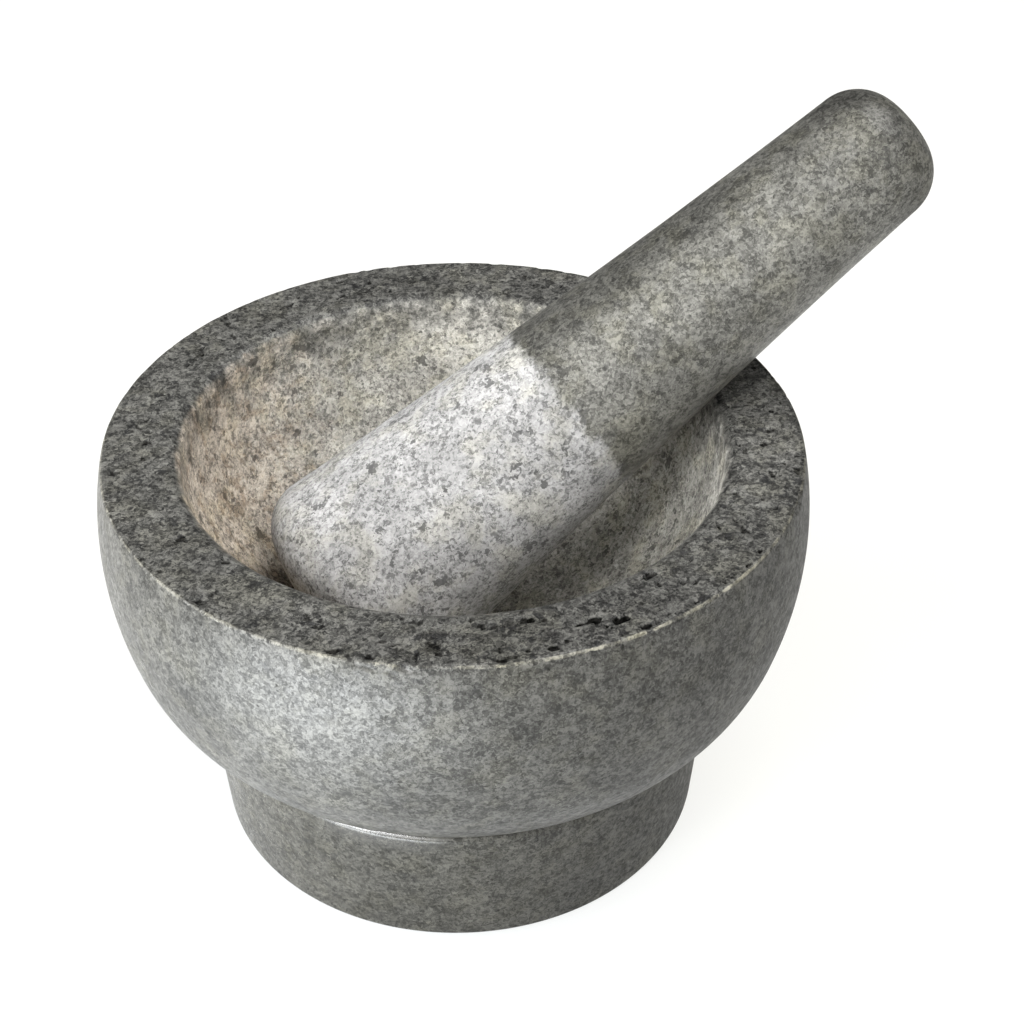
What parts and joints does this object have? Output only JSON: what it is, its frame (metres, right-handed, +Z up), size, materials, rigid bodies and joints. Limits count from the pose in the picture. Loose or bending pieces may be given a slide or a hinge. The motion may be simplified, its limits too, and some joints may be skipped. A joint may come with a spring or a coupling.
{
  "type": "mortar and pestle",
  "caption": "Granite mortar on a round foot, with a rounded bowl and a thick flat rim, and a loose tapered pestle leaning in it.",
  "frame": {"origin": "centre of the foot's flat underside, on the mortar's axis", "axes": "+Z up along the mortar's axis, -Z out of the foot's underside. +X is the way the pestle's handle leans, so the pestle lies in the XZ plane."},
  "size_m": [0.2188, 0.18, 0.1828],
  "materials": {
    "granite_mortar": "grey speckled granite, satin polished outside, ground matt in the bowl",
    "granite_pestle": "grey speckled granite, satin polished handle and pale rough-ground head"
  },
  "bodies": {
    "mortar": {"mortar": "granite_mortar"},
    "pestle": {"pestle": "granite_pestle"}
  },
  "joints": [
    {"name": "pestle_lift", "type": "slide", "parent": "mortar", "child": "pestle", "axis": [0, 0, 1], "range_m": [0, 0.08]}
  ]
}
